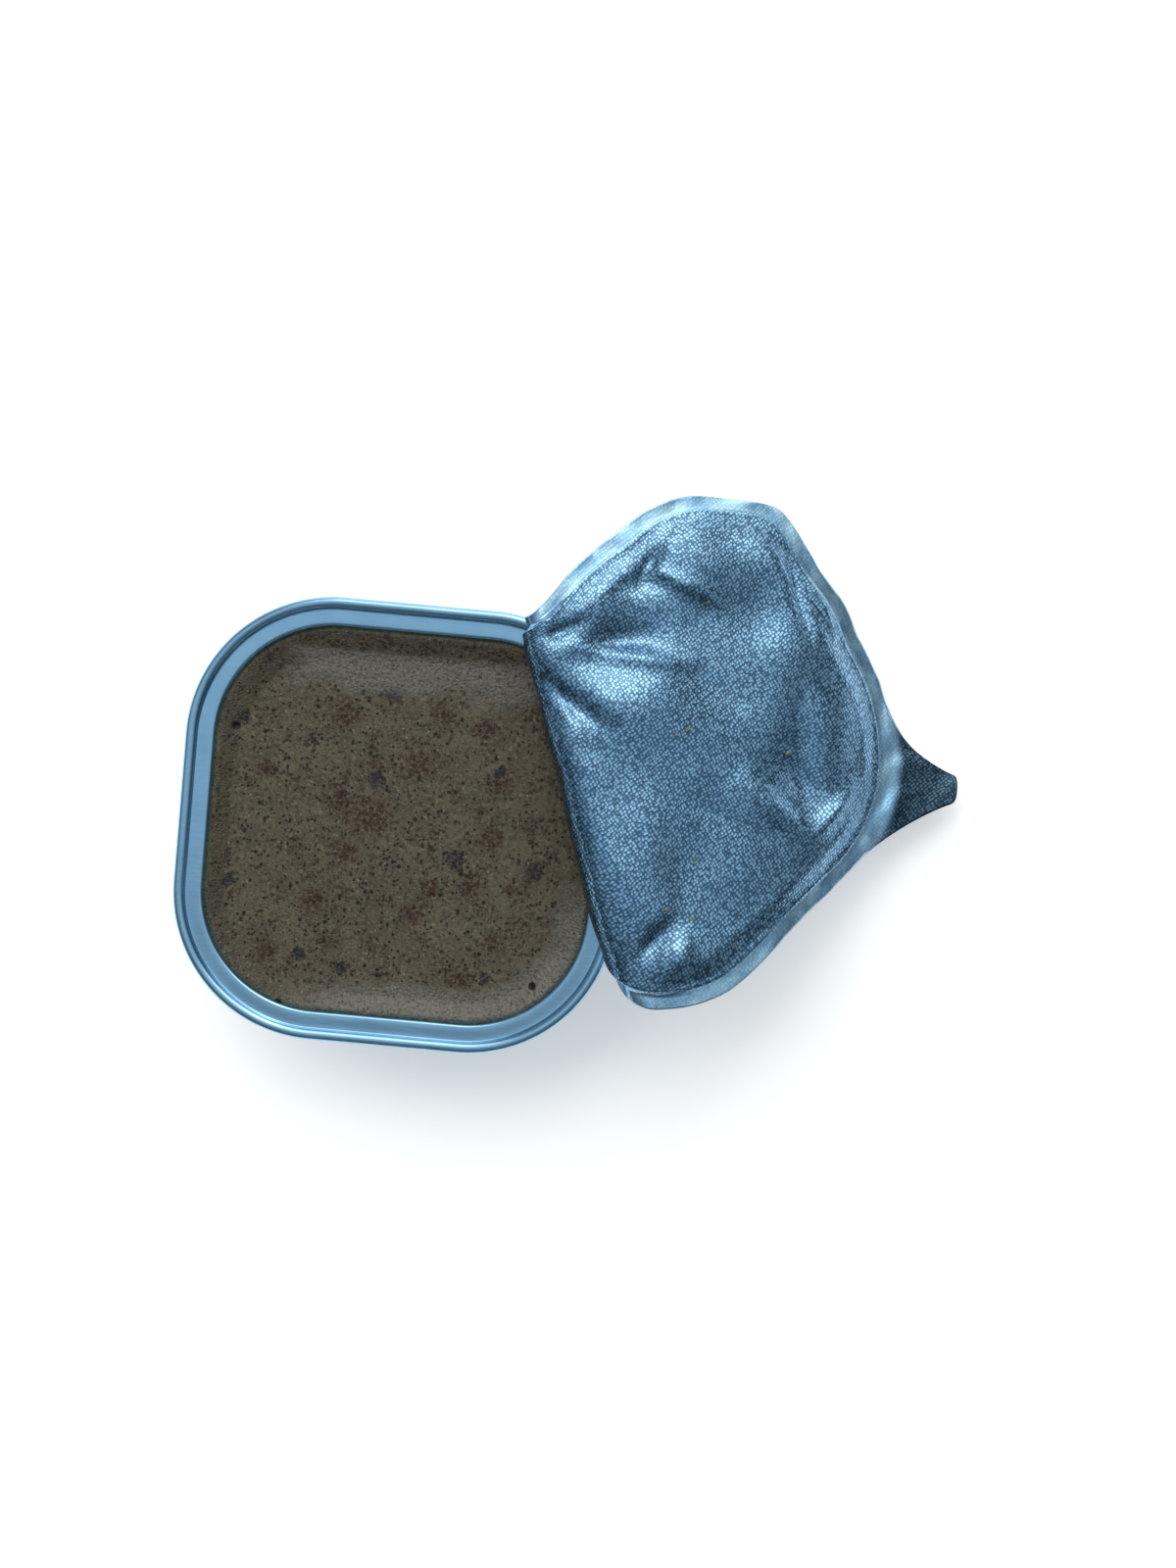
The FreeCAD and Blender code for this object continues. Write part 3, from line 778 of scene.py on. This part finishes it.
def make_lid(material):
    """The foil's two sides, joined along its edge, bent from flat to peeled."""
    flat, triangles = flat_lid()
    vertices = [lid_point(x, y, FOIL[0]) for x, y in flat]
    vertices += [lid_point(x, y, FOIL[1]) for x, y in flat]
    count = len(flat)
    faces = [tuple(reversed(face)) for face in triangles]
    faces += [tuple(index + count for index in face) for face in triangles]
    for first, second in rim_edges(triangles):
        faces.append((first, second, second + count, first + count))
    piece = new_piece("lid_sheet", vertices, faces, material, flat=flat + flat)
    paint_pressing(piece, flat + flat)
    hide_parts("lid")
    return piece


# Crumbs of pate left on the lid's inner side: flat place and size.
CRUMBS = (
    ((-1.0, 2.9), 0.65), ((1.4, 3.5), 0.5), ((-17.2, -14.1), 0.75), ((20.6, -23.0), 0.6),
    ((17.4, -27.5), 0.5), ((11.0, -19.5), 0.45), ((-18.2, 20.8), 0.45),
)


def make_crumbs(material):
    """Small uneven lumps pressed on the foil, joined in one mesh."""
    sunk = 0.05
    lump = bmesh.new()
    bmesh.ops.create_icosphere(lump, subdivisions=3, radius=1.0)
    shape = [vertex.co.copy() for vertex in lump.verts]
    sides = [tuple(vertex.index for vertex in face.verts) for face in lump.faces]
    lump.free()
    vertices, faces, flat = [], [], []
    for number, ((x, y), size) in enumerate(CRUMBS):
        first = len(vertices)
        for place in shape:
            uneven = size * (1 + 0.35 * ripple(place.x, place.y, place.z, 0.8, number))
            across, along = x + uneven * place.x, y + 0.7 * uneven * place.y
            rise = 0.4 * uneven * (1 + place.z) - sunk
            vertices.append(lid_point(across, along, FOIL[0] - rise))
            flat.append((across, along))
        faces += [tuple(first + index for index in reversed(side)) for side in sides]
    return new_piece("crumbs", vertices, faces, material, flat)


# --------------------------------------------------------------------------------
# Materials
# --------------------------------------------------------------------------------


def new_material(name):
    """A material, its node tree and its shader."""
    material = bpy.data.materials.new(name)
    material.use_nodes = True
    return material, material.node_tree, material.node_tree.nodes["Principled BSDF"]


def fill(tree, node, **values):
    """Fill a node's inputs by name, each with a socket, a number or a plain colour."""
    for name, value in values.items():
        socket = node.inputs[name.replace("_", " ")]
        if isinstance(value, (int, float)):
            socket.default_value = value
        elif isinstance(value, tuple):
            socket.default_value = value + (1.0,)
        else:
            tree.links.new(value, socket)
    return node


def flat_place(tree):
    """The flat place on the piece, in millimetres."""
    place = tree.nodes.new("ShaderNodeUVMap")
    place.uv_map = "flat"
    return place.outputs["UV"]


def masks_of(tree, layer):
    """The three masks painted in a colour layer."""
    painted = tree.nodes.new("ShaderNodeVertexColor")
    painted.layer_name = layer
    masks = tree.nodes.new("ShaderNodeSeparateColor")
    return fill(tree, masks, Color=painted.outputs["Color"]).outputs


def noise_at(tree, place, scale, detail=2.0, roughness=0.5):
    """Soft random patches, about 0.5, scale of them to a unit of place."""
    texture = tree.nodes.new("ShaderNodeTexNoise")
    fill(tree, texture, Vector=place, Scale=scale, Detail=detail, Roughness=roughness)
    return texture.outputs["Fac"]


def ramp(tree, value, low, high, to_low=0.0, to_high=1.0):
    """The value stretched smoothly from one range to another, and held at the ends."""
    node = tree.nodes.new("ShaderNodeMapRange")
    node.interpolation_type = "SMOOTHSTEP"
    fill(tree, node, Value=value, From_Min=low, From_Max=high, To_Min=to_low, To_Max=to_high)
    return node.outputs["Result"]


def maths(tree, operation, first, second):
    """A sum on two values, each a socket or a plain number."""
    node = tree.nodes.new("ShaderNodeMath")
    node.operation = operation
    for socket, value in zip(node.inputs, (first, second)):
        if isinstance(value, (int, float)):
            socket.default_value = value
        else:
            tree.links.new(value, socket)
    return node.outputs[0]


def blend(tree, share, first, second, kind="MIX"):
    """Mix two colours, each a socket or a plain colour."""
    node = tree.nodes.new("ShaderNodeMix")
    node.data_type = "RGBA"
    node.blend_type = kind
    tree.links.new(share, node.inputs["Factor"])
    for socket, value in ((node.inputs[6], first), (node.inputs[7], second)):
        if isinstance(value, tuple):
            socket.default_value = value + (1.0,)
        else:
            tree.links.new(value, socket)
    return node.outputs[2]


def bumped(tree, height, depth, normal=None):
    """A normal from a height. depth is in millimetres for a height of 1."""
    bump = fill(tree, tree.nodes.new("ShaderNodeBump"), Height=height, Strength=1.0,
                Distance=depth * MM)
    if normal is not None:
        tree.links.new(normal, bump.inputs["Normal"])
    return bump.outputs["Normal"]


def new_group(name, given, made):
    """A node group with named inputs and outputs, each with its kind of socket."""
    group = bpy.data.node_groups.new(name, "ShaderNodeTree")
    for title, kind in given:
        group.interface.new_socket(title, in_out="INPUT", socket_type="NodeSocket" + kind)
    for title, kind in made:
        group.interface.new_socket(title, in_out="OUTPUT", socket_type="NodeSocket" + kind)
    sources = group.nodes.new("NodeGroupInput").outputs
    results = group.nodes.new("NodeGroupOutput").inputs
    return group, sources, results


def mottle_group():
    """Soft uneven patches between two colours."""
    group, given, made = new_group(
        "mottle",
        (("Place", "Vector"), ("Scale", "Float"), ("Detail", "Float"),
         ("Low", "Float"), ("High", "Float"), ("Dark", "Color"), ("Pale", "Color")),
        (("Color", "Color"), ("Height", "Float")))
    patches = noise_at(group, given["Place"], given["Scale"], given["Detail"])
    share = ramp(group, patches, given["Low"], given["High"])
    group.links.new(blend(group, share, given["Dark"], given["Pale"]), made["Color"])
    group.links.new(patches, made["Height"])
    return group


def pebble_group():
    """Round pebbles in uneven rows: 0 on their tops, 1 in the valleys between."""
    group, given, made = new_group(
        "pebbles",
        (("Place", "Vector"), ("Scale", "Float"), ("Unevenness", "Float"),
         ("Share", "Float")),
        (("Valley", "Float"),))
    cells = fill(group, group.nodes.new("ShaderNodeTexVoronoi"), Vector=given["Place"],
                 Scale=given["Scale"], Randomness=given["Unevenness"])
    valley = ramp(group, cells.outputs["Distance"], 0.22, 0.60)
    group.links.new(maths(group, "MULTIPLY", valley, given["Share"]), made["Valley"])
    return group


MOTTLE = mottle_group()
PEBBLES = pebble_group()


def placed(tree, group, **values):
    """The outputs of a group that is placed in a material with these inputs."""
    node = tree.nodes.new("ShaderNodeGroup")
    node.node_tree = group
    return fill(tree, node, **values).outputs


def tray_metal():
    """Bare rolled aluminium, satin, with a faint grain."""
    material, tree, shader = new_material("tray_metal")
    place = tree.nodes.new("ShaderNodeTexCoord").outputs["Object"]
    stretch = tree.nodes.new("ShaderNodeMapping")
    stretch.inputs["Scale"].default_value = (250, 1600, 1600)
    tree.links.new(place, stretch.inputs["Vector"])
    grain = noise_at(tree, stretch.outputs["Vector"], 1.0, 3.0)
    clouds = placed(tree, MOTTLE, Place=place, Scale=120.0, Detail=3.0, Low=0.0, High=1.0,
                    Dark=(0.30, 0.54, 0.75), Pale=(0.37, 0.63, 0.86))
    fill(tree, shader, Base_Color=clouds["Color"], Metallic=1.0,
         Roughness=ramp(tree, grain, 0.2, 0.8, 0.15, 0.27),
         Normal=bumped(tree, grain, 0.012))
    return material


def lid_foil():
    """Foil embossed with a pebble grain, its valleys darkened as painted shade, its smooth
    border with paler patches of painted highlight, its tab darkened as painted shade.
    """
    material, tree, shader = new_material("lid_foil")
    place = flat_place(tree)
    embossed, tab, border = masks_of(tree, "pressing")
    swirl = fill(tree, tree.nodes.new("ShaderNodeTexNoise"), Vector=place, Scale=0.12,
                 Detail=1.0)
    bent = tree.nodes.new("ShaderNodeVectorMath")
    bent.operation = "MULTIPLY_ADD"
    bent.inputs[1].default_value = (1.4, 1.4, 0)
    tree.links.new(swirl.outputs["Color"], bent.inputs[0])
    tree.links.new(place, bent.inputs[2])
    valleys = placed(tree, PEBBLES, Place=bent.outputs[0], Scale=1.5, Unevenness=0.42,
                     Share=embossed)["Valley"]
    clouds = placed(tree, MOTTLE, Place=place, Scale=0.09, Detail=3.0, Low=0.0, High=1.0,
                    Dark=(0.27, 0.51, 0.75), Pale=(0.34, 0.61, 0.87))
    # painted highlight: paler patches on the smooth border, standing in for the light caught
    # by its waves
    border_highlight = ramp(tree, noise_at(tree, place, 0.2), 0.42, 0.56, 0.1, 0.8)
    border_highlight = maths(tree, "MULTIPLY", border, border_highlight)
    tone = blend(tree, border_highlight, clouds["Color"], (0.50, 0.77, 0.96))
    # painted shade: the tab's colour darkened, standing in for the dark that it mirrors
    tone = blend(tree, tab, tone, (0.080, 0.145, 0.205))
    # painted shade: the valleys between the pebbles darkened in the colour
    tone = blend(tree, valleys, tone, (0.24, 0.26, 0.29), "MULTIPLY")
    rubbed = noise_at(tree, place, 0.35, 4.0)
    fill(tree, shader, Base_Color=tone, Metallic=1.0,
         Roughness=ramp(tree, rubbed, 0.3, 0.7, 0.22, 0.32),
         Normal=bumped(tree, valleys, 0.035))
    return material


def specks(tree, place, under, colour, scale, rarity, size, amount, where=None):
    """Small grains: the cells whose own number is high, and only their middles."""
    cells = fill(tree, tree.nodes.new("ShaderNodeTexVoronoi"), Vector=place, Scale=scale)
    number = fill(tree, tree.nodes.new("ShaderNodeSeparateColor"),
                  Color=cells.outputs["Color"])
    chosen = ramp(tree, number.outputs[0], rarity, rarity + 0.02)
    middle = ramp(tree, cells.outputs["Distance"], size * 0.55, size, 1.0, 0.0)
    share = maths(tree, "MULTIPLY", chosen, middle)
    share = maths(tree, "MULTIPLY", share, amount)
    if where is not None:
        share = maths(tree, "MULTIPLY", share, where)
    return blend(tree, share, under, colour)


def pate_ground(tree, place):
    """Mottled grey brown with darker and paler grains."""
    tone = placed(tree, MOTTLE, Place=place, Scale=0.13, Detail=3.0, Low=0.35, High=0.65,
                  Dark=(0.081, 0.069, 0.043), Pale=(0.104, 0.090, 0.058))["Color"]
    dark = ramp(tree, noise_at(tree, place, 1.0, 3.0, 0.65), 0.46, 0.66, 0.0, 0.9)
    tone = blend(tree, dark, tone, (0.046, 0.036, 0.022))
    pale = ramp(tree, noise_at(tree, place, 1.5, 2.0), 0.52, 0.66, 0.0, 0.75)
    return blend(tree, pale, tone, (0.135, 0.120, 0.085))


def pate_specks(tree, place, tone, reddened):
    """Reddish grains and shreds in patches, and dark and pale grains all over."""
    around = ramp(tree, noise_at(tree, place, 0.22, 2.0), 0.48, 0.66, 0.12, 0.8)
    around = maths(tree, "MAXIMUM", around, reddened)
    tone = specks(tree, place, tone, (0.036, 0.014, 0.009), 1.5, 0.55, 0.62, 0.9, around)
    tone = specks(tree, place, tone, (0.045, 0.016, 0.010), 0.95, 0.72, 0.55, 0.85, around)
    shreds = ramp(tree, noise_at(tree, place, 0.95, 4.0, 0.62), 0.54, 0.58)
    shreds = maths(tree, "MULTIPLY", around, shreds)
    tone = blend(tree, shreds, tone, (0.030, 0.011, 0.007))
    tone = specks(tree, place, tone, (0.013, 0.010, 0.009), 1.6, 0.84, 0.66, 1.0)
    tone = specks(tree, place, tone, (0.006, 0.005, 0.006), 0.8, 0.90, 0.42, 1.0)
    return specks(tree, place, tone, (0.22, 0.195, 0.14), 1.4, 0.95, 0.45, 0.6)


def pate_stains(tree, place, tone, reddened, bruised, print_and_sheen):
    """Soaked red spots, dark bruises and the painted sheen over the print, all with ragged
    edges.
    """
    ragged = noise_at(tree, place, 1.6, 3.0, 0.7)
    soaked = ramp(tree, ragged, 0.50, 0.57, 0.15, 0.9)
    soaked = maths(tree, "MULTIPLY", reddened, soaked)
    tone = blend(tree, soaked, tone, (0.034, 0.013, 0.008))
    dark = ramp(tree, ragged, 0.43, 0.54, 0.3, 1.0)
    dark = maths(tree, "MULTIPLY", ramp(tree, bruised, 0.1, 0.6), dark)
    tone = blend(tree, dark, tone, (0.010, 0.010, 0.017))
    # painted sheen: a paler grey over the print, standing in for the light that it catches
    sheen = ramp(tree, ragged, 0.35, 0.58, 0.15, 0.75)
    sheen = maths(tree, "MULTIPLY", print_and_sheen, sheen)
    return blend(tree, sheen, tone, (0.150, 0.145, 0.130))


def pate_edges(tree, tone, margin, jelly, hole, print_and_sheen):
    """Painted shade on the margin, the jelly along the wall, and painted shade in the air
    holes.
    """
    # painted shade: the sloping margin darkened, except where the painted sheen lies
    margin_shade = maths(tree, "SUBTRACT", margin, print_and_sheen)
    tone = blend(tree, margin_shade, tone, (0.66, 0.62, 0.50), "MULTIPLY")
    tone = blend(tree, maths(tree, "MULTIPLY", jelly, 0.55), tone, (0.115, 0.118, 0.060))
    # painted shade: the air holes painted near black
    return blend(tree, ramp(tree, hole, 0.1, 0.5), tone, (0.004, 0.004, 0.004))


def pate():
    """Fine moist pate: grey brown, with dark and reddish specks, the lid's print with a
    painted sheen, and painted shade in the margin and the air holes.
    """
    material, tree, shader = new_material("pate")
    place = flat_place(tree)
    reddened, bruised, print_and_sheen = masks_of(tree, "marks")
    margin, jelly, hole = masks_of(tree, "surface")
    tone = pate_specks(tree, place, pate_ground(tree, place), reddened)
    tone = pate_stains(tree, place, tone, reddened, bruised, print_and_sheen)
    tone = pate_edges(tree, tone, margin, jelly, hole, print_and_sheen)

    dry = ramp(tree, noise_at(tree, place, 0.7, 4.0, 0.6), 0.35, 0.7, 0.34, 0.62)
    moist = maths(tree, "MAXIMUM", maths(tree, "MULTIPLY", margin, 0.7), jelly)
    kept = maths(tree, "SUBTRACT", 1.0, maths(tree, "MULTIPLY", moist, 0.72))
    grain = bumped(tree, noise_at(tree, place, 2.6, 3.0, 0.6), 0.32)
    pebbles = placed(tree, PEBBLES, Place=place, Scale=1.32, Unevenness=0.8, Share=print_and_sheen)
    fill(tree, shader, Base_Color=tone,
         Roughness=maths(tree, "MULTIPLY", dry, kept),
         Specular_IOR_Level=ramp(tree, moist, 0.3, 1.0, 0.35, 0.8),
         Normal=bumped(tree, pebbles["Valley"], 0.13, grain),
         Subsurface_Weight=0.06, Subsurface_Scale=0.0006)
    return material


def crumb():
    """Dried pate, greenish grey and matt."""
    material, tree, shader = new_material("crumb")
    mottled = placed(tree, MOTTLE, Place=flat_place(tree), Scale=1.8, Detail=3.0, Low=0.35,
                     High=0.65, Dark=(0.07, 0.12, 0.09), Pale=(0.14, 0.20, 0.155))
    fill(tree, shader, Base_Color=mottled["Color"], Roughness=0.6,
         Normal=bumped(tree, mottled["Height"], 0.12))
    return material


# --------------------------------------------------------------------------------
# Floor, light and camera
# --------------------------------------------------------------------------------


def white_ray_share(tree):
    """1 where the eye, or a mirror or glass that the eye sees, looks at it."""
    path = tree.nodes.new("ShaderNodeLightPath").outputs
    seen = maths(tree, "MAXIMUM", path["Is Camera Ray"], path["Is Glossy Ray"])
    return maths(tree, "MAXIMUM", seen, path["Is Transmission Ray"])


def make_floor():
    """A pale floor that reads white and keeps the tray's soft shadow."""
    bpy.ops.mesh.primitive_plane_add(size=8.0)
    floor = bpy.context.object
    floor.name = "floor"
    material, tree, shader = new_material("floor_paint")
    fill(tree, shader, Base_Color=(0.82, 0.82, 0.82), Roughness=0.9,
         Emission_Color=(1.0, 1.0, 1.0),
         Emission_Strength=maths(tree, "MULTIPLY", white_ray_share(tree), 0.40))
    floor.data.materials.append(material)


def add_lamp(name, place, size, power, colour, mirrored):
    """A flat lamp aimed at the tray. mirrored says whether the metal shows it."""
    data = bpy.data.lights.new(name, "AREA")
    data.shape = "RECTANGLE"
    data.size, data.size_y = size
    data.energy = power
    data.color = colour
    lamp = bpy.data.objects.new(name, data)
    lamp.location = place
    aim = Vector((0.03, 0, 0)) - Vector(place)
    lamp.rotation_euler = aim.to_track_quat("-Z", "Y").to_euler()
    lamp.visible_glossy = mirrored
    bpy.context.collection.objects.link(lamp)


def make_light():
    """A wide window at the back left, and a small pane that the metal mirrors."""
    add_lamp("window", (-0.61, 0.79, 0.84), (1.3, 1.2), 14.5, (1.0, 0.985, 0.955), False)
    add_lamp("pane", (0.20, 1.04, 0.75), (0.3, 0.3), 1.1, (1.0, 0.97, 0.92), True)


def make_room():
    """Surroundings brightest overhead, at the back and along the horizon."""
    world = bpy.data.worlds.new("studio")
    world.use_nodes = True
    tree = world.node_tree
    way = tree.nodes.new("ShaderNodeTexCoord").outputs["Generated"]
    parts = tree.nodes.new("ShaderNodeSeparateXYZ")
    tree.links.new(way, parts.inputs[0])
    towards = tree.nodes.new("ShaderNodeVectorMath")
    towards.operation = "DOT_PRODUCT"
    towards.inputs[1].default_value = (0.15, 0.80, 0.58)
    tree.links.new(way, towards.inputs[0])
    overhead = ramp(tree, parts.outputs["Z"], 0.20, 1.0, 0.15, 0.69)
    front = ramp(tree, parts.outputs["Y"], -0.28, -0.03, 0.42, 1.0)
    back = ramp(tree, towards.outputs["Value"], 0.78, 0.96)
    horizon = ramp(tree, parts.outputs["Z"], 0.02, 0.13, 0.9, 0.0)
    level = maths(tree, "MULTIPLY", overhead, front)
    level = maths(tree, "ADD", level, maths(tree, "MULTIPLY", back, 1.6))
    level = maths(tree, "ADD", level, horizon)
    fill(tree, tree.nodes["Background"], Strength=level,
         Color=blend(tree, back, (0.80, 0.92, 1.0), (0.92, 0.90, 0.84)))
    bpy.context.scene.world = world


def make_camera():
    """Nearly overhead, a little turned."""
    place = Vector((35.74, 23.60, 332.6))
    turn = (-2.19, 0.14, 5.24)
    data = bpy.data.cameras.new("camera")
    data.lens = 36.0
    data.sensor_width = 36.0
    data.clip_start = 0.01
    camera = bpy.data.objects.new("camera", data)
    camera.location = place * MM
    camera.rotation_euler = Euler([math.radians(angle) for angle in turn], "XYZ")
    bpy.context.collection.objects.link(camera)
    bpy.context.scene.camera = camera


# --------------------------------------------------------------------------------
# Scene
# --------------------------------------------------------------------------------

bpy.context.scene.view_settings.view_transform = "Standard"
make_tray(tray_metal())
make_food(pate())
make_lid(lid_foil())
make_crumbs(crumb())
make_floor()
make_light()
make_room()
make_camera()
